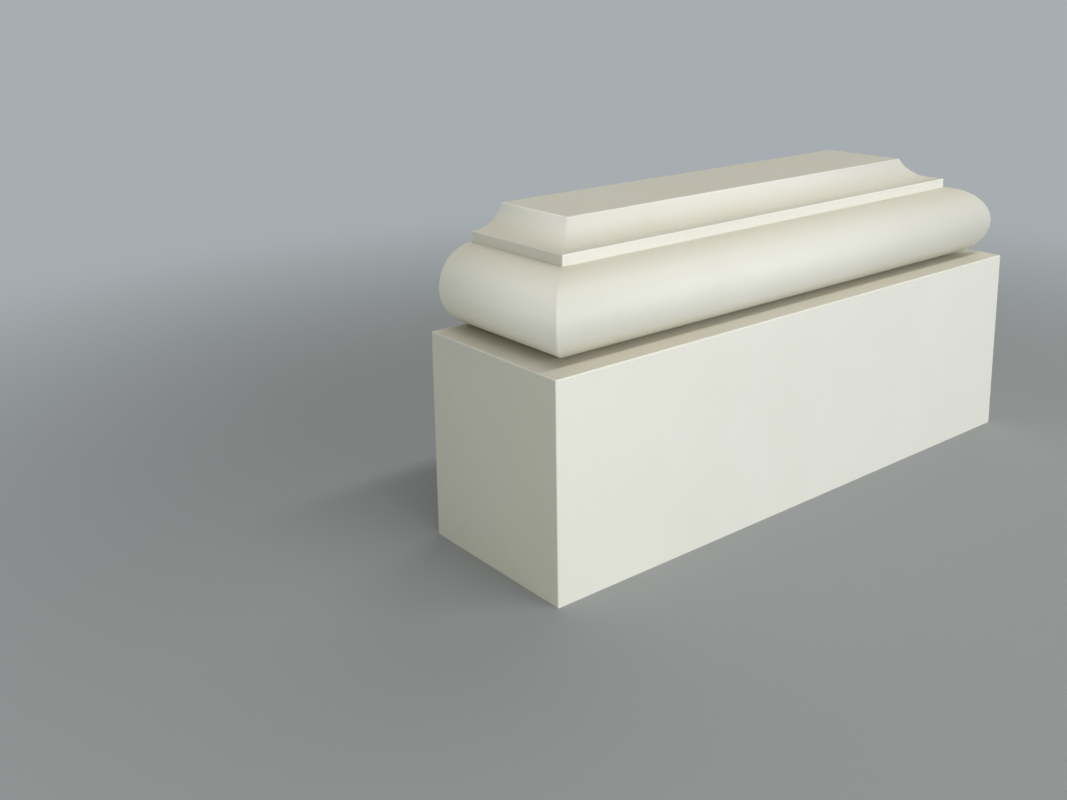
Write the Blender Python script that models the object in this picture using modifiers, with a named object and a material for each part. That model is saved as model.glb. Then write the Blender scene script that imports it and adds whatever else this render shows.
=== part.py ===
"""Base of a pilaster, the flat column on a wall: a plinth block with a moulded base on it.

The moulding is a half round torus, a fillet and a hollow cavetto. It has one profile on the
front and on both returns, mitred at the front corners, and it is flat at the back, where it
meets the wall. Metres, +Z up, +X along the wall, +Y into the wall. The origin is the middle
of the underside.
"""

import math

import bmesh
import bpy
from mathutils import Matrix

# The pilaster shaft that the base carries
SHAFT_WIDTH = 0.300
SHAFT_PROJECTION = 0.059

# The plinth block
PLINTH_HEIGHT = 0.1235

# The moulding, from the plinth upwards
TORUS_RADIUS = 0.0236
TORUS_SETBACK = 0.0058
FILLET_HEIGHT = 0.0062
FILLET_LEDGE = 0.0018
CAVETTO_RADIUS = 0.0210
CAVETTO_SWEEP = math.radians(70)

# The edges are barely rounded, and a bed joint parts the moulding from the plinth
ARRIS_RADIUS = 0.0008
BED_JOINT = 0.0003

# How finely the round stretches are cut
TORUS_STEPS = 32
CAVETTO_STEPS = 16
ARRIS_STEPS = 3

# Sizes that follow from those above
CAVETTO_RUN = CAVETTO_RADIUS * math.sin(CAVETTO_SWEEP)
CAVETTO_RISE = CAVETTO_RADIUS * (1 - math.cos(CAVETTO_SWEEP))
FILLET_REACH = CAVETTO_RUN + FILLET_LEDGE
FILLET_TOP = 2 * TORUS_RADIUS + FILLET_HEIGHT
MOULDING_HEIGHT = FILLET_TOP + CAVETTO_RISE
PLINTH_REACH = FILLET_REACH + TORUS_RADIUS + TORUS_SETBACK
PLINTH_WIDTH = SHAFT_WIDTH + 2 * PLINTH_REACH
PLINTH_DEPTH = SHAFT_PROJECTION + PLINTH_REACH
WALL_Y = PLINTH_DEPTH / 2
SHAFT_FACE_Y = WALL_Y - SHAFT_PROJECTION
MOULDING_Z = PLINTH_HEIGHT + BED_JOINT

OFF_WHITE = (0.74, 0.72, 0.64, 1.0)
SATIN_ROUGHNESS = 0.45


def clear_scene():
    for obj in list(bpy.data.objects):
        bpy.data.objects.remove(obj, do_unlink=True)


def new_collection(name):
    collection = bpy.data.collections.new(name)
    bpy.context.scene.collection.children.link(collection)
    return collection


def satin_paint(name):
    material = bpy.data.materials.new(name)
    material.use_nodes = True
    shader = material.node_tree.nodes["Principled BSDF"]
    shader.inputs["Base Color"].default_value = OFF_WHITE
    shader.inputs["Roughness"].default_value = SATIN_ROUGHNESS
    shader.inputs["Metallic"].default_value = 0.0
    return material


def arc(centre, radius, start, end, steps):
    """Points along an arc, with both its ends."""
    angles = [start + (end - start) * step / steps for step in range(steps + 1)]
    return [(centre[0] + radius * math.cos(a), centre[1] + radius * math.sin(a)) for a in angles]


def torus_profile():
    """A half circle that bulges outwards, from the bed joint up to the foot of the fillet."""
    centre = (FILLET_REACH, TORUS_RADIUS)
    return arc(centre, TORUS_RADIUS, -math.pi / 2, math.pi / 2, TORUS_STEPS)


def fillet_arris_profile():
    """The rounded upper edge of the fillet."""
    centre = (FILLET_REACH - ARRIS_RADIUS, FILLET_TOP - ARRIS_RADIUS)
    return arc(centre, ARRIS_RADIUS, 0, math.pi / 2, ARRIS_STEPS)


def cavetto_profile():
    """A hollow that leaves the ledge flat and ends in a rounded edge at the shaft's seat.

    The rounding touches the hollow and the seat: its centre is an arris radius below the seat,
    and a cavetto radius plus an arris radius from the centre of the hollow.
    """
    hollow = (CAVETTO_RUN, FILLET_TOP + CAVETTO_RADIUS)
    edge_up = MOULDING_HEIGHT - ARRIS_RADIUS
    drop = hollow[1] - edge_up
    edge_out = hollow[0] - math.sqrt((CAVETTO_RADIUS + ARRIS_RADIUS) ** 2 - drop**2)
    meeting = math.atan2(-drop, edge_out - hollow[0])
    curve = arc(hollow, CAVETTO_RADIUS, -math.pi / 2, meeting, CAVETTO_STEPS)
    edge = arc((edge_out, edge_up), ARRIS_RADIUS, meeting + math.pi, math.pi / 2, ARRIS_STEPS)
    return curve + edge[1:]


def moulding_profile():
    """(out, up) points from bottom to top: out from the shaft's face, up from the bed joint."""
    return torus_profile() + fillet_arris_profile() + cavetto_profile()


def extruded_outline(name, outline, half_length, placing):
    """A mesh object: the outline drawn as a flat curve, filled, and extruded to both sides."""
    curve = bpy.data.curves.new(name + "_outline", "CURVE")
    curve.dimensions = "2D"
    curve.fill_mode = "BOTH"
    curve.extrude = half_length
    spline = curve.splines.new("POLY")
    spline.points.add(len(outline) - 1)
    for point, (across, up) in zip(spline.points, outline):
        point.co = (across, up, 0, 1)
    spline.use_cyclic_u = True

    drawing = bpy.data.objects.new(name + "_outline", curve)
    bpy.context.scene.collection.objects.link(drawing)
    graph = bpy.context.evaluated_depsgraph_get()
    mesh = bpy.data.meshes.new_from_object(drawing.evaluated_get(graph))
    bpy.data.objects.remove(drawing)

    solid = bmesh.new()
    solid.from_mesh(mesh)
    bmesh.ops.remove_doubles(solid, verts=solid.verts, dist=1e-6)
    solid.transform(placing)
    bmesh.ops.recalc_face_normals(solid, faces=solid.faces)
    solid.to_mesh(mesh)
    solid.free()
    mesh.name = name
    return bpy.data.objects.new(name, mesh)


def front_run():
    """The profile from the wall to the front, run along the wall past both ends."""
    outline = moulding_profile() + [(-SHAFT_PROJECTION, MOULDING_HEIGHT), (-SHAFT_PROJECTION, 0)]
    placing = Matrix(((0, 0, -1, 0), (-1, 0, 0, SHAFT_FACE_Y), (0, 1, 0, MOULDING_Z), (0, 0, 0, 1)))
    return extruded_outline("base_moulding", outline, PLINTH_WIDTH, placing)


def side_run():
    """The profile of both returns back to back, run out from the wall past the front."""
    right = [(SHAFT_WIDTH / 2 + out, up) for out, up in moulding_profile()]
    left = [(-across, up) for across, up in reversed(right)]
    placing = Matrix(((1, 0, 0, 0), (0, 0, -1, 0), (0, 1, 0, MOULDING_Z), (0, 0, 0, 1)))
    return extruded_outline("returns_cutter", right + left, PLINTH_DEPTH, placing)


def make_base_moulding(parts, helpers):
    """Torus, fillet and cavetto in one piece: what the front run and the side run share.

    Both have the same profile, so they meet in true mitres at the front corners.
    """
    moulding = front_run()
    parts.objects.link(moulding)
    returns = side_run()
    returns.hide_render = True
    returns.display_type = "WIRE"
    helpers.objects.link(returns)

    mitre = moulding.modifiers.new("Mitred returns", "BOOLEAN")
    mitre.operation = "INTERSECT"
    mitre.solver = "EXACT"
    mitre.object = returns
    moulding.data.materials.append(satin_paint("moulding_paint"))
    return moulding


def make_plinth(parts):
    """A block whose open edges are rounded. Those at the wall and the ground stay sharp."""
    block = bmesh.new()
    bmesh.ops.create_cube(block, size=1)
    sizes = (PLINTH_WIDTH, PLINTH_DEPTH, PLINTH_HEIGHT)
    bmesh.ops.scale(block, vec=sizes, verts=block.verts)
    bmesh.ops.translate(block, vec=(0, 0, PLINTH_HEIGHT / 2), verts=block.verts)
    weight = block.edges.layers.float.new("bevel_weight_edge")
    for edge in block.edges:
        at_wall = all(vertex.co.y > 0 for vertex in edge.verts)
        at_ground = all(vertex.co.z < PLINTH_HEIGHT / 2 for vertex in edge.verts)
        edge[weight] = 0.0 if at_wall or at_ground else 1.0

    mesh = bpy.data.meshes.new("plinth")
    block.to_mesh(mesh)
    block.free()
    plinth = bpy.data.objects.new("plinth", mesh)
    parts.objects.link(plinth)
    arrises = plinth.modifiers.new("Rounded arrises", "BEVEL")
    arrises.limit_method = "WEIGHT"
    arrises.width = ARRIS_RADIUS
    arrises.segments = ARRIS_STEPS
    mesh.materials.append(satin_paint("plinth_paint"))
    return plinth


def main():
    clear_scene()
    parts = new_collection("pilaster_base")
    helpers = new_collection("cutters")
    make_plinth(parts)
    make_base_moulding(parts, helpers)


main()
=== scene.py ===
# %% [markdown]
# # The painted base of a pilaster
#
# A pilaster is a flat, shallow column. Its base is made of two pieces: a plain block, the
# plinth, and a moulding on top that leads the eye from the wide plinth to the narrower shaft.
# This lesson dresses the two solids of the imported model with fine surfaces, a satin paint and
# the light of a plain studio.
#
# The imported model comes first, because every piece takes its place from it.

import math

import bpy
import numpy as np
from mathutils import Matrix, Vector


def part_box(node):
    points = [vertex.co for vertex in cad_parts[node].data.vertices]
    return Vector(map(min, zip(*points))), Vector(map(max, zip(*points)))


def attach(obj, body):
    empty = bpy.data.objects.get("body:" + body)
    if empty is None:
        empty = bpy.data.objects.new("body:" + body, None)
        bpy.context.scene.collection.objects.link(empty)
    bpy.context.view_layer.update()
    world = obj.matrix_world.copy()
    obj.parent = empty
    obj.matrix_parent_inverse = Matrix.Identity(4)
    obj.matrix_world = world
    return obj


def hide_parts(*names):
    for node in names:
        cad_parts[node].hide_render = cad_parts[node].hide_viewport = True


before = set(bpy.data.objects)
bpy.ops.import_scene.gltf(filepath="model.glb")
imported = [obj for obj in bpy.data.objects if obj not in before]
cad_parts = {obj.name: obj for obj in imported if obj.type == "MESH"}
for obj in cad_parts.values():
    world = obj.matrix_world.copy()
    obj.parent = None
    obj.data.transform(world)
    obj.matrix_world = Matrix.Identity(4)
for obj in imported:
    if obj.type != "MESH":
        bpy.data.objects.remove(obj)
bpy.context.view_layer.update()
print("pieces of the packed model:", sorted(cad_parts))

# %% [markdown]
# ## The sizes
#
# A moulding is drawn as a section. Each point of it has two numbers: how far it stands *out*
# from the face of the shaft above, and how far it is *up* from the foot of the piece. The
# section's curves are a half circle (the torus), a straight step (the fillet) and a hollow
# that turns through 70 degrees (the cavetto). The widths and heights of the blocks could be
# typed in again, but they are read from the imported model, so that they can't drift apart.

# %% Sizes in metres
MM = 1000                # millimetres in a metre

plinth_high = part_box("plinth")[1]
moulding_low, moulding_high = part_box("base_moulding")

TORUS_RADIUS = 0.0236
FILLET_HEIGHT = 0.0062
FILLET_LEDGE = 0.0018
CAVETTO_RADIUS = 0.0210
CAVETTO_SWEEP = math.radians(70)
ARRIS_RADIUS = 0.0008

cavetto_run = CAVETTO_RADIUS * math.sin(CAVETTO_SWEEP)
fillet_reach = cavetto_run + FILLET_LEDGE
fillet_top = 2 * TORUS_RADIUS + FILLET_HEIGHT
moulding_reach = fillet_reach + TORUS_RADIUS

back_y = plinth_high.y
moulding_height = moulding_high.z - moulding_low.z
plinth_height = plinth_high.z
shaft_half_width = moulding_high.x - moulding_reach
shaft_face_y = moulding_low.y + moulding_reach
plinth_reach = plinth_high.x - shaft_half_width
shaft_width, shaft_depth = 2 * shaft_half_width, back_y - shaft_face_y
print(f"shaft {MM * shaft_width:.1f} mm wide, {MM * shaft_depth:.1f} mm deep")
print(f"moulding {MM * moulding_height:.1f} mm high, plinth {MM * plinth_height:.1f} mm high")

# %% [markdown]
# ## The view
#
# The camera stands to the left of the base and looks down on it. The photo was taken level,
# through a lens that was shifted down, which keeps all uprights parallel. A smaller shift is
# used here, because a large one would push the base out of the picture in every other view,
# and the camera is tilted down to make up for it.

# %% Camera
LENS_MM = 39.95
SENSOR_MM = 36.0
LENS_SHIFT = -0.15
NEAR_CLIP = 0.01
CAMERA_YAW = math.radians(38.23)
CAMERA_PITCH = math.radians(12.54)
CAMERA_ROLL = math.radians(-0.89)
CAMERA_PLACE = Vector((-0.5515, -0.4839, 0.3178))

camera_data = bpy.data.cameras.new("camera")
camera_data.lens = LENS_MM
camera_data.sensor_width = SENSOR_MM
camera_data.shift_y = LENS_SHIFT
camera_data.clip_start = NEAR_CLIP
camera = bpy.data.objects.new("camera", camera_data)
bpy.context.scene.collection.objects.link(camera)
bpy.context.scene.camera = camera

turn = Matrix.Rotation(-CAMERA_YAW, 4, "Z")
tilt = Matrix.Rotation(math.pi / 2 - CAMERA_PITCH, 4, "X")
roll = Matrix.Rotation(CAMERA_ROLL, 4, "Z")
camera.matrix_world = Matrix.Translation(CAMERA_PLACE) @ turn @ tilt @ roll
print(f"the camera is {MM * CAMERA_PLACE.z:.0f} mm above the floor")

# %% [markdown]
# ## A section, drawn in bands
#
# A real moulding is run: a metal template is pushed along a rail, and its outline is left
# behind in the plaster. The template here is a list of bands. A band is a stretch of the
# section that is smooth, either an arc or a straight line, and each of its points carries the
# direction in which the surface faces. Where two bands meet in a corner, they keep their own
# directions, so the corner stays crisp.

# %% Bands of a section
QUARTER = math.pi / 2


def arc_band(centre, radius, start, end, steps, hollow=False):
    """Rows of (out, up, facing out, facing up) along an arc.

    A point is the centre plus the radius times (cos a, sin a), with the angle a in equal
    steps. The surface faces along (cos a, sin a), or against it on a hollow.
    """
    angle = np.linspace(start, end, steps + 1)
    ray = np.stack([np.cos(angle), np.sin(angle)], axis=1)
    facing = -ray if hollow else ray
    return np.hstack([np.array(centre) + radius * ray, facing])


def straight_band(first, last):
    """Two rows that join two points. The surface faces to the right of the way it runs."""
    run = np.subtract(last, first)
    facing = np.array([run[1], -run[0]]) / np.hypot(*run)
    return np.array([[*first, *facing], [*last, *facing]])


# %% [markdown]
# ## The runs, and how soft the mitres are
#
# The section is carried along a path with three runs: a return from the flat back to the
# front, the front itself, and the other return. Where two runs meet they form a mitre. A
# square corner would be as sharp as a knife, which no painted edge is, so each mitre gets a
# tiny round.
#
# The torus and the hollow have been rubbed down by hand at the mitres until only a faint line
# is left, and the light slides round the corner instead of stopping at it. That could be
# modelled by moving the surface, but the outline stays straight on the real thing. So only
# the direction in which the surface faces is blended along each run. The long front pulls
# the mitre's direction its own way, so it ends up nearer the front than the diagonal.
#
# Blended directions have a price. The rays that look for shade start a little way off a leaning
# surface, farther off on a wide strip, and near the mitre they would slip past the corner and
# find light that isn't there. So a return's strips get narrower towards the mitre.

# %% The path round three sides
MITRE_LEAN = math.radians(30)      # how far the soft mitre faces away from straight ahead
BACK_END_LEAN = math.radians(12)   # how far the soft end at the back faces towards the front


def path_columns(return_steps, mitre_steps, front_steps):
    """Columns of (side, depth, facing x, facing y, soft x, soft y) from the left back end.

    Side goes from -1 at the left to 1 at the right, and depth from 0 at the back to 1 at the
    front. On a return, depth is one minus the square of the share of the columns that are
    left. Facing is the true direction of the surface. Soft is the blend, in a straight line
    from the direction at the back to the one at the mitre, and from mitre to mitre.
    """
    depth = 1 - np.linspace(1, 0, return_steps + 1) ** 2
    swing = np.linspace(0, QUARTER, mitre_steps + 1)[1:-1]
    front = np.linspace(0, 1, front_steps // 2 + 1)
    back_way = (-math.cos(BACK_END_LEAN), -math.sin(BACK_END_LEAN))
    mitre_way = (-math.sin(MITRE_LEAN), -math.cos(MITRE_LEAN))
    middle_way = (0, -math.cos(MITRE_LEAN))

    def blend(start, end, share):
        mixed = np.outer(1 - share, start) + np.outer(share, end)
        return mixed / np.linalg.norm(mixed, axis=1, keepdims=True)

    at_return, at_mitre, at_front = map(np.ones_like, (depth, swing, front))
    left = np.column_stack([
        -at_return, depth, -at_return, 0 * depth, blend(back_way, mitre_way, depth)])
    mitre = np.column_stack([
        -at_mitre, at_mitre, -np.cos(swing), -np.sin(swing),
        np.tile(mitre_way, (len(swing), 1))])
    half_front = np.column_stack([
        front - 1, at_front, 0 * front, -at_front, blend(mitre_way, middle_way, front)])
    half = np.vstack([left, mitre, half_front])
    mirrored = half[-2::-1] * np.array([-1, 1, -1, 1, -1, 1])
    return np.vstack([half, mirrored])


def carried(bands, columns, base_z, mitre_radius):
    """Points and facings of the bands, carried along the path.

    At each height the plan is a rectangle that reaches "out" past the shaft on three sides,
    with round corners. A point is the corner's centre plus the corner radius times facing.
    The surface faces along (facing x, facing y) times the section's facing out, with the
    section's facing up as its height.
    """
    side, depth, facing_x, facing_y = columns[:, :4].T
    points, facings = [], []
    for band, soft in bands:
        out, up = band[:, :1], band[:, 1:2]
        inset = shaft_half_width + out - mitre_radius
        front_y = shaft_face_y - out + mitre_radius
        x = inset * side + mitre_radius * facing_x
        y = back_y + (front_y - back_y) * depth + mitre_radius * facing_y
        points.append(np.stack([x, y, base_z + up + 0 * x], axis=2))
        plan = columns[:, 4:6] if soft else columns[:, 2:4]
        level = band[:, 2:3, None] * plan[None]
        upright = np.repeat(band[:, 3:4, None], len(columns), axis=1)
        facings.append(np.concatenate([level, upright], axis=2))
    return points, facings


columns = path_columns(return_steps=48, mitre_steps=6, front_steps=96)
print(f"{len(columns)} columns round three sides")

# %% [markdown]
# ## From numbers to a closed mesh
#
# The bands make a skin on three sides. The base is cut off flat at the back and at the floor,
# and it has a flat top, so three flat faces close the skin. They are single faces, because a
# flat face needs no inner points. The skin's faces get the directions that were worked out
# above, corner by corner, instead of the average that Blender would take.

# %% Building the mesh
PLASTER_SLOT = 1         # the bare plaster's place in a piece's list of materials


def corners_of_quads(grid):
    """The four corners of each cell of a grid of rows and columns, in order round the cell."""
    return np.stack([grid[:-1, :-1], grid[:-1, 1:], grid[1:, 1:], grid[1:, :-1]], axis=2)


def closed_body(name, bands, base_z, mitre_radius):
    """A mesh object made of a grid of rows and columns and three flat faces."""
    points, facings = carried(bands, columns, base_z, mitre_radius)
    rows = np.concatenate([points[0][:1]] + [band[1:] for band in points])
    row_count, column_count = rows.shape[:2]
    number = np.arange(row_count * column_count).reshape(row_count, column_count)
    quads = corners_of_quads(number).reshape(-1, 4)
    quad_facings = np.concatenate([corners_of_quads(band) for band in facings])

    top = number[-1]
    under = number[0][::-1]
    back = np.concatenate([number[:, 0], number[::-1, -1]])
    faces = quads.tolist() + [top.tolist(), under.tolist(), back.tolist()]
    flat_facings = [
        np.tile(direction, (len(face), 1))
        for face, direction in ((top, (0, 0, 1)), (under, (0, 0, -1)), (back, (0, 1, 0)))]

    mesh = bpy.data.meshes.new(name)
    mesh.from_pydata(rows.reshape(-1, 3).tolist(), [], faces)
    mesh.polygons.foreach_set("use_smooth", np.ones(len(faces), bool))
    slots = np.zeros(len(faces), np.int32)
    slots[-2:] = PLASTER_SLOT
    mesh.polygons.foreach_set("material_index", slots)
    mesh.normals_split_custom_set(np.concatenate([quad_facings.reshape(-1, 3), *flat_facings]))
    mesh.update()
    piece = bpy.data.objects.new(name, mesh)
    bpy.context.scene.collection.objects.link(piece)
    print(f"{name}: {row_count} rows by {column_count} columns")
    return piece


# %% [markdown]
# ## The plinth
#
# The plinth is a cast block. A cube with a Bevel modifier would do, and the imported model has
# just that. Here it is run like the moulding, from a section with one straight band and one
# arc, because the same tools then give it the same edges: a painted arris with a radius of
# less than a millimetre, which is what catches the light as a thin bright line.

# %% Make the plinth
PLINTH_MITRE_RADIUS = 0.0009
ARRIS_STEPS = 6

shoulder = plinth_height - ARRIS_RADIUS
plinth_bands = [
    (straight_band((plinth_reach, 0), (plinth_reach, shoulder)), False),
    (arc_band((plinth_reach - ARRIS_RADIUS, shoulder), ARRIS_RADIUS, 0, QUARTER, ARRIS_STEPS),
     False)]
painted_plinth = closed_body("painted_plinth", plinth_bands, 0.0, PLINTH_MITRE_RADIUS)

# %% [markdown]
# ## The moulding
#
# From the plinth upwards: the torus is a half circle, the fillet is a short straight face
# right above the torus's centre, with a narrow ledge on top, and the cavetto leaves that
# ledge level and curls up to the seat of the shaft. The rounded edge at the seat touches
# both the hollow and the seat. Its centre is one arris radius below the seat, and the two
# radii together away from the centre of the hollow. It is rubbed down at the mitres with the
# hollow, while the fillet and its ledge keep their crisp corners.

# %% Make the moulding
MOULDING_MITRE_RADIUS = 0.0006
TORUS_STEPS = 96
CAVETTO_STEPS = 48

hollow_centre = (cavetto_run, fillet_top + CAVETTO_RADIUS)
edge_up = moulding_height - ARRIS_RADIUS
drop = hollow_centre[1] - edge_up
edge_out = hollow_centre[0] - math.sqrt((CAVETTO_RADIUS + ARRIS_RADIUS) ** 2 - drop**2)
meeting = math.atan2(-drop, edge_out - hollow_centre[0])
ledge_edge = fillet_reach - ARRIS_RADIUS
fillet_shoulder = fillet_top - ARRIS_RADIUS

torus = arc_band((fillet_reach, TORUS_RADIUS), TORUS_RADIUS, -QUARTER, QUARTER, TORUS_STEPS)
fillet = straight_band((fillet_reach, 2 * TORUS_RADIUS), (fillet_reach, fillet_shoulder))
fillet_arris = arc_band((ledge_edge, fillet_shoulder), ARRIS_RADIUS, 0, QUARTER, ARRIS_STEPS)
ledge = straight_band((ledge_edge, fillet_top), (cavetto_run, fillet_top))
cavetto = arc_band(
    hollow_centre, CAVETTO_RADIUS, -QUARTER, meeting, CAVETTO_STEPS, hollow=True)
seat_arris = arc_band(
    (edge_out, edge_up), ARRIS_RADIUS, meeting + math.pi, QUARTER, ARRIS_STEPS)

moulding_bands = [
    (torus, True), (fillet, False), (fillet_arris, False), (ledge, False),
    (cavetto, True), (seat_arris, True)]
painted_moulding = closed_body(
    "painted_moulding", moulding_bands, moulding_low.z, MOULDING_MITRE_RADIUS)

# %% [markdown]
# ## Small tools for shader nodes
#
# A paint is described by nodes. Effects that both pieces share are node groups: little
# machines with named inputs and outputs, built once and then placed in each material.

# %% Node helpers
def new_group(name, inputs, outputs):
    """An empty node group. Inputs and outputs are pairs of a name and a socket type."""
    group = bpy.data.node_groups.new(name, "ShaderNodeTree")
    for label, kind in inputs:
        group.interface.new_socket(label, in_out="INPUT", socket_type="NodeSocket" + kind)
    for label, kind in outputs:
        group.interface.new_socket(label, in_out="OUTPUT", socket_type="NodeSocket" + kind)
    print(f"node group {name}: {', '.join(label for label, kind in outputs)}")
    return group, group.nodes.new("NodeGroupInput"), group.nodes.new("NodeGroupOutput")


def feed(tree, socket, value):
    """Links a socket to a value: another socket, or a plain number or colour."""
    if isinstance(value, bpy.types.NodeSocket):
        tree.links.new(value, socket)
    else:
        socket.default_value = value


def maths(tree, operation, *values):
    """The result of one Math node."""
    node = tree.nodes.new("ShaderNodeMath")
    node.operation = operation
    for socket, value in zip(node.inputs, values):
        feed(tree, socket, value)
    return node.outputs[0]


def blended(tree, first, second, share):
    """The first value times its share, plus the second times the rest."""
    return maths(tree, "ADD", maths(tree, "MULTIPLY", first, share),
                 maths(tree, "MULTIPLY", second, 1 - share))


def ramp(tree, value, low, high, to_low=0.0, to_high=1.0):
    """A value moved from one range to another along a smooth step, and held inside it."""
    node = tree.nodes.new("ShaderNodeMapRange")
    node.interpolation_type = "SMOOTHSTEP"
    for socket, number in zip(node.inputs, (value, low, high, to_low, to_high)):
        feed(tree, socket, number)
    return node.outputs[0]


def noise(tree, place, scale, detail=2.0, roughness=0.5):
    """Cloudy noise between 0 and 1, with so many clouds to the metre."""
    node = tree.nodes.new("ShaderNodeTexNoise")
    feed(tree, node.inputs["Vector"], place)
    node.inputs["Scale"].default_value = scale
    node.inputs["Detail"].default_value = detail
    node.inputs["Roughness"].default_value = roughness
    return node.outputs["Fac"]


def mixed(tree, share, first, second):
    """A colour between two others."""
    node = tree.nodes.new("ShaderNodeMix")
    node.data_type = "RGBA"
    feed(tree, node.inputs["Factor"], share)
    feed(tree, node.inputs["A"], first)
    feed(tree, node.inputs["B"], second)
    return node.outputs["Result"]


# %% [markdown]
# ## Where on the section is this point?
#
# The arris highlights, the dust and the painted shade in the crease follow the section. The
# first group turns a point of the object into the two numbers that the section is drawn with,
# out and up, and adds its distance from the nearest mitre. The plan is a rectangle, so "out" is
# the larger of the ways that a point lies past the shaft's side and past its face.

# %% Group: place on the section
section_place, given, result = new_group(
    "section_place",
    [("Position", "Vector"), ("Half Width", "Float"), ("Face Y", "Float"), ("Foot Z", "Float")],
    [("Out", "Float"), ("Up", "Float"), ("Mitre", "Float")])
split = section_place.nodes.new("ShaderNodeSeparateXYZ")
feed(section_place, split.inputs[0], given.outputs["Position"])
past_side = maths(section_place, "SUBTRACT",
                  maths(section_place, "ABSOLUTE", split.outputs["X"]), given.outputs["Half Width"])
past_face = maths(section_place, "SUBTRACT", given.outputs["Face Y"], split.outputs["Y"])
feed(section_place, result.inputs["Out"], maths(section_place, "MAXIMUM", past_side, past_face))
feed(section_place, result.inputs["Up"],
     maths(section_place, "SUBTRACT", split.outputs["Z"], given.outputs["Foot Z"]))
feed(section_place, result.inputs["Mitre"],
     maths(section_place, "ABSOLUTE", maths(section_place, "SUBTRACT", past_side, past_face)))


def gaps_to(tree, given, spot):
    """How far out a point lies from a named spot, and its distance from it on the section.

    The distance is the square root of the sum of the squares of the gaps out and up.
    """
    gap_out = maths(tree, "SUBTRACT", given.outputs["Out"], given.outputs[spot + " Out"])
    gap_up = maths(tree, "SUBTRACT", given.outputs["Up"], given.outputs[spot + " Up"])
    squares = maths(tree, "ADD", maths(tree, "MULTIPLY", gap_out, gap_out),
                    maths(tree, "MULTIPLY", gap_up, gap_up))
    return gap_out, maths(tree, "SQRT", squares)


# %% [markdown]
# ## Paint
#
# The finish is a water-based satin paint, sprayed over smooth plaster. Up close such a coat
# has a very fine orange peel, and from a step away its colour drifts by a percent or two,
# where the coat is thicker or the plaster drank more of it. A broad noise with a little
# speckle gives the drift, two finer ones the peel.

# %% Group: sprayed coat
BROAD_CLOUDS = 14            # all scales are clouds to the metre
SPECKLES = 420
BROAD_SHARE = 0.75
DRIFT_ENDS = (0.32, 0.68)    # noise that gives the deep tone, and noise that gives the light one
COARSE_PEEL = 900
FINE_PEEL = 2600
COARSE_SHARE = 0.65

sprayed_coat, given, result = new_group(
    "sprayed_coat", [("Position", "Vector")], [("Drift", "Float"), ("Peel", "Float")])
place = given.outputs["Position"]
broad = noise(sprayed_coat, place, BROAD_CLOUDS, detail=3.0, roughness=0.55)
speckle = noise(sprayed_coat, place, SPECKLES, detail=2.0)
drift = blended(sprayed_coat, broad, speckle, BROAD_SHARE)
feed(sprayed_coat, result.inputs["Drift"], ramp(sprayed_coat, drift, *DRIFT_ENDS))
coarse_peel = noise(sprayed_coat, place, COARSE_PEEL, detail=1.0)
fine_peel = noise(sprayed_coat, place, FINE_PEEL, detail=1.0)
feed(sprayed_coat, result.inputs["Peel"],
     blended(sprayed_coat, coarse_peel, fine_peel, COARSE_SHARE))

# %% [markdown]
# ## Painted highlights on the arrises
#
# Each arris is made lighter in colour, which is a painted highlight: the thin bright line that a
# rounded edge shows where it catches the light. The same mask makes the arris a little less
# rough. The mask is one along an arris and falls to nothing within a millimetre or so, broken
# up a little by noise. An arris is named by its place on the section. The corner below it is an
# arris too, down to the foot of its face.

# %% Group: painted arris highlight
PATCHES = 60
PATCH_ENDS = (0.2, 0.6)
LEAST_HIGHLIGHT = 0.6

painted_arris_highlight, given, result = new_group(
    "painted_arris_highlight",
    [("Position", "Vector"), ("Out", "Float"), ("Up", "Float"), ("Mitre", "Float"),
     ("Arris Out", "Float"), ("Arris Up", "Float"), ("Face Foot", "Float"), ("Reach", "Float")],
    [("Mask", "Float")])
reach = given.outputs["Reach"]
gap_out, gap = gaps_to(painted_arris_highlight, given, "Arris")
along_arris = ramp(painted_arris_highlight, gap, reach, 0.0)
on_face = maths(
    painted_arris_highlight, "MULTIPLY",
    maths(painted_arris_highlight, "GREATER_THAN", given.outputs["Up"], given.outputs["Face Foot"]),
    maths(painted_arris_highlight, "LESS_THAN", maths(painted_arris_highlight, "ABSOLUTE", gap_out), reach))
down_mitre = maths(painted_arris_highlight, "MULTIPLY", on_face,
                   ramp(painted_arris_highlight, given.outputs["Mitre"], reach, 0.0))
either = maths(painted_arris_highlight, "MAXIMUM", along_arris, down_mitre)
patches = noise(painted_arris_highlight, given.outputs["Position"], PATCHES, detail=3.0)
patchy = ramp(painted_arris_highlight, patches, *PATCH_ENDS, LEAST_HIGHLIGHT, 1.0)
feed(painted_arris_highlight, result.inputs["Mask"], maths(painted_arris_highlight, "MULTIPLY", either, patchy))

# %% [markdown]
# ## Dust and painted warm shade on what faces up
#
# What faces up gets a slightly warmer, darker and duller tone, which fades as the surface gets
# steeper. It stands partly for settled dust and partly for the warm light from above, painted
# into the colour as warm shade.

# %% Group: dust and painted warm shade
UPWARD_ENDS = (0.45, 1.0)    # the height of the direction that holds no dust, and full dust
DUST_CLOUDS = 34
DUST_CLOUD_ENDS = (0.25, 0.7)
LEAST_DUSTY = 0.75

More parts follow.
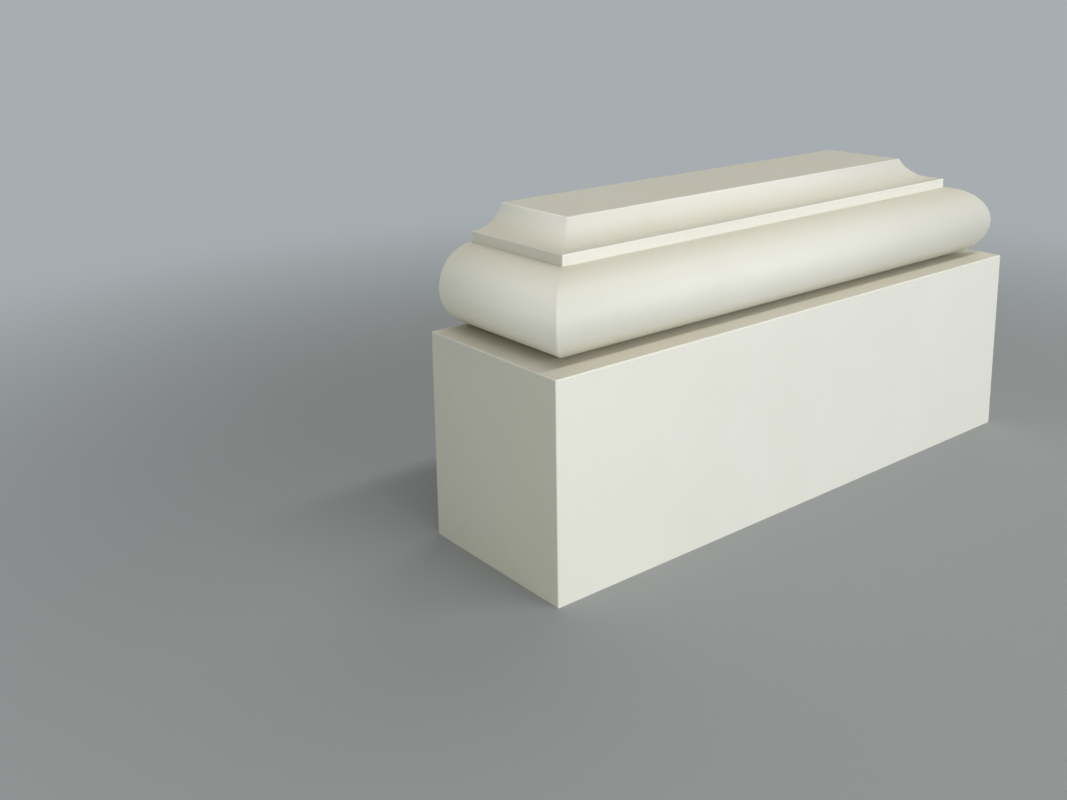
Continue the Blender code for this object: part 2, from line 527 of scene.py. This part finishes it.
dust_and_warm_shade, given, result = new_group(
    "dust_and_warm_shade", [("Position", "Vector"), ("Normal", "Vector")], [("Mask", "Float")])
split = dust_and_warm_shade.nodes.new("ShaderNodeSeparateXYZ")
feed(dust_and_warm_shade, split.inputs[0], given.outputs["Normal"])
facing_up = ramp(dust_and_warm_shade, split.outputs["Z"], *UPWARD_ENDS)
clouds = noise(dust_and_warm_shade, given.outputs["Position"], DUST_CLOUDS, detail=4.0, roughness=0.6)
uneven = ramp(dust_and_warm_shade, clouds, *DUST_CLOUD_ENDS, LEAST_DUSTY, 1.0)
feed(dust_and_warm_shade, result.inputs["Mask"], maths(dust_and_warm_shade, "MULTIPLY", facing_up, uneven))

# %% [markdown]
# ## Painted shade in the crease
#
# Under the torus the two pieces meet in a deep crease. The colour there is darkened towards a
# brown-grey, which is painted shade for the shade that falls in the crease. The mask is a matter
# of distance from the crease, measured on the section.

# %% Group: painted crease shade
SHADE_BLOTCHES = 45
BLOTCH_ENDS = (0.25, 0.75)
LEAST_SHADED = 0.85

painted_crease_shade, given, result = new_group(
    "painted_crease_shade",
    [("Position", "Vector"), ("Out", "Float"), ("Up", "Float"), ("Crease Out", "Float"),
     ("Crease Up", "Float"), ("Deep", "Float"), ("Reach", "Float")],
    [("Mask", "Float")])
gap_out, gap = gaps_to(painted_crease_shade, given, "Crease")
crease_shade = ramp(painted_crease_shade, gap, given.outputs["Reach"], given.outputs["Deep"])
blotches = noise(painted_crease_shade, given.outputs["Position"], SHADE_BLOTCHES, detail=4.0)
uneven = ramp(painted_crease_shade, blotches, *BLOTCH_ENDS, LEAST_SHADED, 1.0)
feed(painted_crease_shade, result.inputs["Mask"], maths(painted_crease_shade, "MULTIPLY", crease_shade, uneven))

# %% [markdown]
# ## The painted finish
#
# The paint brings the groups together. Its base colour drifts between two near off-whites,
# turns warmer and darker on what faces up (dust, with painted warm shade), darker in the crease
# under the torus (painted shade) and lighter on the arrises (painted highlight). The two pieces
# were painted apart, and the moulding's coat is a shade warmer than the plinth's. The roughness
# moves with the drift, the dust and the arris highlight, and the orange peel goes through a Bump
# node. What is the same all over, such as the strength of the sheen, is set on the shader itself.

# %% Paint
PLINTH_TONES = ((0.750, 0.742, 0.684, 1), (0.775, 0.768, 0.713, 1))      # deep, light
MOULDING_TONES = ((0.739, 0.729, 0.664, 1), (0.764, 0.755, 0.692, 1))
# dust and painted warm shade on what faces up
PAINT_DUST_AND_WARM_SHADE = (0.725, 0.690, 0.572, 1)
# painted highlight on the arrises
PAINT_HIGHLIGHT = (0.900, 0.890, 0.830, 1)
# painted shade in the crease under the torus
PAINT_CREASE_SHADE = (0.620, 0.590, 0.505, 1)
HIGHLIGHT_REACH = 0.0009
HIGHLIGHT_SHARE = 0.9
DEEP_ROUGHNESS = 0.50
LIGHT_ROUGHNESS = 0.44
DUST_DULLS = 0.14
HIGHLIGHT_SHINES = 0.10
PEEL_STRENGTH = 0.35
PEEL_HEIGHT = 0.00002
PAINT_SPECULAR = 0.35


def place_group(tree, group, **values):
    """One use of a node group, with its inputs set. Names use _ for a space."""
    node = tree.nodes.new("ShaderNodeGroup")
    node.node_tree = group
    for label, value in values.items():
        feed(tree, node.inputs[label.replace("_", " ")], value)
    return node


def new_material(name, specular):
    """A material, its node tree, its shader and a socket with the object's coordinates."""
    material = bpy.data.materials.new(name)
    material.use_nodes = True
    tree = material.node_tree
    shader = tree.nodes["Principled BSDF"]
    shader.inputs["Specular IOR Level"].default_value = specular
    return material, tree, shader, tree.nodes.new("ShaderNodeTexCoord").outputs["Object"]


def add_bump(tree, shader, height, strength, distance):
    """A Bump node in front of the shader. Its distance is the height of one, in metres."""
    bump = tree.nodes.new("ShaderNodeBump")
    bump.inputs["Strength"].default_value = strength
    bump.inputs["Distance"].default_value = distance
    feed(tree, bump.inputs["Height"], height)
    feed(tree, shader.inputs["Normal"], bump.outputs["Normal"])


def satin_paint(name, tones, foot_z, crease_up, shade_reach, arrises):
    """The painted finish of one piece. Each arris is (out, up, foot of the face below it)."""
    material, tree, shader, position = new_material(name, PAINT_SPECULAR)
    normal = tree.nodes.new("ShaderNodeNewGeometry").outputs["Normal"]
    place = place_group(tree, section_place, Position=position, Half_Width=shaft_half_width,
                        Face_Y=shaft_face_y, Foot_Z=foot_z)
    out, up, mitre = place.outputs
    coat = place_group(tree, sprayed_coat, Position=position)
    dust_and_warmth = place_group(tree, dust_and_warm_shade, Position=position, Normal=normal).outputs["Mask"]
    deep, reach = shade_reach
    crease_shade = place_group(
        tree, painted_crease_shade, Position=position, Out=out, Up=up, Crease_Out=fillet_reach,
        Crease_Up=crease_up, Deep=deep, Reach=reach).outputs["Mask"]
    highlight = 0.0
    for arris_out, arris_up, face_foot in arrises:
        mask = place_group(
            tree, painted_arris_highlight, Position=position, Out=out, Up=up, Mitre=mitre,
            Arris_Out=arris_out, Arris_Up=arris_up, Face_Foot=face_foot,
            Reach=HIGHLIGHT_REACH).outputs["Mask"]
        highlight = maths(tree, "MAXIMUM", highlight, mask)

    colour = mixed(tree, coat.outputs["Drift"], *tones)
    # What faces up turns warmer and darker: dust, together with painted warm shade.
    colour = mixed(tree, dust_and_warmth, colour, PAINT_DUST_AND_WARM_SHADE)
    # The crease under the torus is darkened in colour: painted shade.
    colour = mixed(tree, crease_shade, colour, PAINT_CREASE_SHADE)
    # The arrises are made lighter in colour: a painted highlight.
    colour = mixed(tree, maths(tree, "MULTIPLY", highlight, HIGHLIGHT_SHARE), colour, PAINT_HIGHLIGHT)
    feed(tree, shader.inputs["Base Color"], colour)

    gloss = ramp(tree, coat.outputs["Drift"], 0.0, 1.0, DEEP_ROUGHNESS, LIGHT_ROUGHNESS)
    duller = maths(tree, "MULTIPLY", dust_and_warmth, DUST_DULLS)
    shinier = maths(tree, "MULTIPLY", highlight, HIGHLIGHT_SHINES)
    roughness = maths(tree, "SUBTRACT", maths(tree, "ADD", gloss, duller), shinier)
    feed(tree, shader.inputs["Roughness"], roughness)
    add_bump(tree, shader, coat.outputs["Peel"], PEEL_STRENGTH, PEEL_HEIGHT)
    print(f"{name}: {len(tree.nodes)} nodes")
    return material


# %% [markdown]
# ## Bare plaster
#
# The back and the underside never see daylight. They keep the face that the mould's open
# side left: bare plaster, scraped level with a straight edge, with small pin holes where air
# escaped. The scrape marks are noise stretched along the base's length. The pin holes are
# dented by a bump, and their colour is darkened as painted shade in the holes.

# %% Bare plaster
PLASTER_LIGHT = (0.700, 0.680, 0.630, 1)
PLASTER_DEEP = (0.590, 0.570, 0.520, 1)
HOLE_SHADE = (0.330, 0.310, 0.280, 1)
SCRAPES = 380
SCRAPE_STRETCH = (0.06, 1.0, 1.0)
PLASTER_CLOUDS = 22
CLOUD_SHARE = 0.7
TONE_ENDS = (0.35, 0.65)
HOLES = 190
HOLE_EDGES = (0.16, 0.08)        # where a hole begins, and where it is full
SCRAPE_ENDS = (0.3, 0.7)
SCRAPE_ROUGHNESS = (0.92, 0.80)
SCRAPE_HEIGHT = 0.5              # as a share of the depth of a hole
PLASTER_BUMP = 0.6
HOLE_DEPTH = 0.0003
PLASTER_SPECULAR = 0.2


def bare_plaster(name):
    """The unpainted, scraped face at the back and under the base."""
    material, tree, shader, position = new_material(name, PLASTER_SPECULAR)
    stretch = tree.nodes.new("ShaderNodeMapping")
    stretch.inputs["Scale"].default_value = SCRAPE_STRETCH
    feed(tree, stretch.inputs["Vector"], position)
    scrapes = noise(tree, stretch.outputs["Vector"], SCRAPES, detail=3.0, roughness=0.6)
    clouds = noise(tree, position, PLASTER_CLOUDS, detail=4.0, roughness=0.6)
    pores = tree.nodes.new("ShaderNodeTexVoronoi")
    pores.inputs["Scale"].default_value = HOLES
    feed(tree, pores.inputs["Vector"], position)
    holes = ramp(tree, pores.outputs["Distance"], *HOLE_EDGES)

    tone = ramp(tree, blended(tree, clouds, scrapes, CLOUD_SHARE), *TONE_ENDS)
    colour = mixed(tree, tone, PLASTER_DEEP, PLASTER_LIGHT)
    # The pin holes are darkened in colour: painted shade.
    feed(tree, shader.inputs["Base Color"], mixed(tree, holes, colour, HOLE_SHADE))
    feed(tree, shader.inputs["Roughness"], ramp(tree, scrapes, *SCRAPE_ENDS, *SCRAPE_ROUGHNESS))
    height = maths(tree, "SUBTRACT", maths(tree, "MULTIPLY", scrapes, SCRAPE_HEIGHT), holes)
    add_bump(tree, shader, height, PLASTER_BUMP, HOLE_DEPTH)
    print(f"{name}: {len(tree.nodes)} nodes")
    return material


# %% [markdown]
# ## Put the pieces in the imported model's place
#
# Each painted piece stands for one solid and rides on the same body. The paint comes first
# in its list of materials and the bare plaster second, as the mesh's faces expect.

# %% Dress the two pieces
# How far the painted shade in the crease under the torus reaches on each piece.
LEDGE_SHADE = (0.008, 0.025)      # full up to the first distance from the crease, then fading out
TORUS_SHADE = (0.013, 0.028)
plaster = bare_plaster("bare_plaster")

plinth_arrises = [(plinth_reach, plinth_height, 0.0)]
plinth_paint = satin_paint(
    "plinth_paint", PLINTH_TONES, 0.0, plinth_height, LEDGE_SHADE, plinth_arrises)
painted_plinth.data.materials.append(plinth_paint)
painted_plinth.data.materials.append(plaster)
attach(painted_plinth, "root")
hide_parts("plinth")

moulding_arrises = [
    (fillet_reach, fillet_top, 2 * TORUS_RADIUS),
    (0.0, moulding_height, moulding_height - ARRIS_RADIUS)]
moulding_paint = satin_paint(
    "moulding_paint", MOULDING_TONES, moulding_low.z, 0.0, TORUS_SHADE, moulding_arrises)
painted_moulding.data.materials.append(moulding_paint)
painted_moulding.data.materials.append(plaster)
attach(painted_moulding, "root")
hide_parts("base_moulding")

# %% [markdown]
# ## The studio
#
# The floor is a plain grey sheet, and it isn't part of the base. A step away from it, it fades
# into a backdrop of one even tone, so that no horizon shows from any side. There the floor's
# own colour goes to black, so that no lamp can draw a pool on it, and its glow takes over.

# %% Floor
FLOOR_HALF_SIZE = 200.0
FLOOR_NEAR = (0.360, 0.375, 0.380, 1)
BACKDROP = (0.385, 0.418, 0.435, 1)
BLACK = (0, 0, 0, 1)
FADE_ENDS = (0.27, 0.95)         # metres from the middle of the base
FLOOR_ROUGHNESS = 0.9
GLOW_STRENGTH = 1.0

floor_mesh = bpy.data.meshes.new("floor")
floor_corners = FLOOR_HALF_SIZE * np.array([[-1, -1, 0], [1, -1, 0], [1, 1, 0], [-1, 1, 0]])
floor_mesh.from_pydata(floor_corners.tolist(), [], [(0, 1, 2, 3)])
floor = bpy.data.objects.new("floor", floor_mesh)
bpy.context.scene.collection.objects.link(floor)

floor_paint, floor_tree, floor_shader, floor_position = new_material("floor_paint", specular=0.0)
distance = floor_tree.nodes.new("ShaderNodeVectorMath")
distance.operation = "LENGTH"
feed(floor_tree, distance.inputs[0], floor_position)
far_out = ramp(floor_tree, distance.outputs["Value"], *FADE_ENDS)
feed(floor_tree, floor_shader.inputs["Base Color"], mixed(floor_tree, far_out, FLOOR_NEAR, BLACK))
feed(floor_tree, floor_shader.inputs["Emission Color"], mixed(floor_tree, far_out, BLACK, BACKDROP))
floor_shader.inputs["Emission Strength"].default_value = GLOW_STRENGTH
floor_shader.inputs["Roughness"].default_value = FLOOR_ROUGHNESS
floor_mesh.materials.append(floor_paint)
print(f"the floor fades out between {MM * FADE_ENDS[0]:.0f} and {MM * FADE_ENDS[1]:.0f} mm")

# %% [markdown]
# ## The light
#
# The light is soft and comes mostly from the front. Three lamps at different heights brighten
# the front, a weak low one lifts the left return, and a long narrow strip above the front
# draws the sharp shadow of the torus on the plinth. Two lamps behind light the top and the
# back. The world adds an even light from all round, and the camera sees the backdrop's tone
# in its place.

# %% Lights
LAMP_TARGET = Vector((0.0, 0.0, 0.1))
LAMPS = {                        # place, size, and power in watts of red, green and blue
    "top_strip": ((0.0, -0.782, 1.941), (2.0, 0.14), (14.9, 14.5, 13.7)),
    "high_window": ((0.2, -1.9, 0.75), (1.2, 0.4), (7.8, 7.8, 8.8)),
    "right_window": ((1.4, -1.9, 0.30), (1.2, 0.6), (11.4, 11.2, 7.8)),
    "low_front": ((-0.55, -2.2, 0.15), (0.5, 0.3), (7.7, 8.2, 11.2)),
    "low_left": ((-0.96, -0.83, 0.16), (0.5, 0.24), (2.75, 2.72, 1.65)),
    "back_right": ((1.84, 1.06, 2.22), (1.4, 2.0), (11.2, 11.3, 10.4)),
    "back_fill": ((0.7, 2.1, 0.55), (2.0, 0.7), (5.0, 5.0, 4.9)),
}
ROOM_COLOUR = (0.905, 0.952, 1.0, 1)
ROOM_STRENGTH = 0.236

for name, (lamp_place, size, power) in LAMPS.items():
    lamp_data = bpy.data.lights.new(name, "AREA")
    lamp_data.shape = "RECTANGLE"
    lamp_data.size, lamp_data.size_y = size
    lamp_data.energy = max(power)
    lamp_data.color = [channel / max(power) for channel in power]
    lamp = bpy.data.objects.new(name, lamp_data)
    lamp.location = lamp_place
    way = LAMP_TARGET - Vector(lamp_place)
    lamp.rotation_euler = way.to_track_quat("-Z", "Y").to_euler()
    lamp.visible_camera = False
    bpy.context.scene.collection.objects.link(lamp)
    print(f"{name}: {max(power):.1f} W, {way.length:.2f} m away")

world = bpy.data.worlds.new("studio")
world.use_nodes = True
world_tree = world.node_tree
room = world_tree.nodes["Background"]
room.inputs["Color"].default_value = ROOM_COLOUR
room.inputs["Strength"].default_value = ROOM_STRENGTH
backdrop = world_tree.nodes.new("ShaderNodeBackground")
backdrop.inputs["Color"].default_value = BACKDROP
either_one = world_tree.nodes.new("ShaderNodeMixShader")
ray = world_tree.nodes.new("ShaderNodeLightPath")
sources = (ray.outputs["Is Camera Ray"], room.outputs[0], backdrop.outputs[0])
for source, socket in zip(sources, either_one.inputs):
    world_tree.links.new(source, socket)
world_tree.links.new(either_one.outputs[0], world_tree.nodes["World Output"].inputs[0])
bpy.context.scene.world = world
bpy.context.scene.view_settings.view_transform = "Standard"
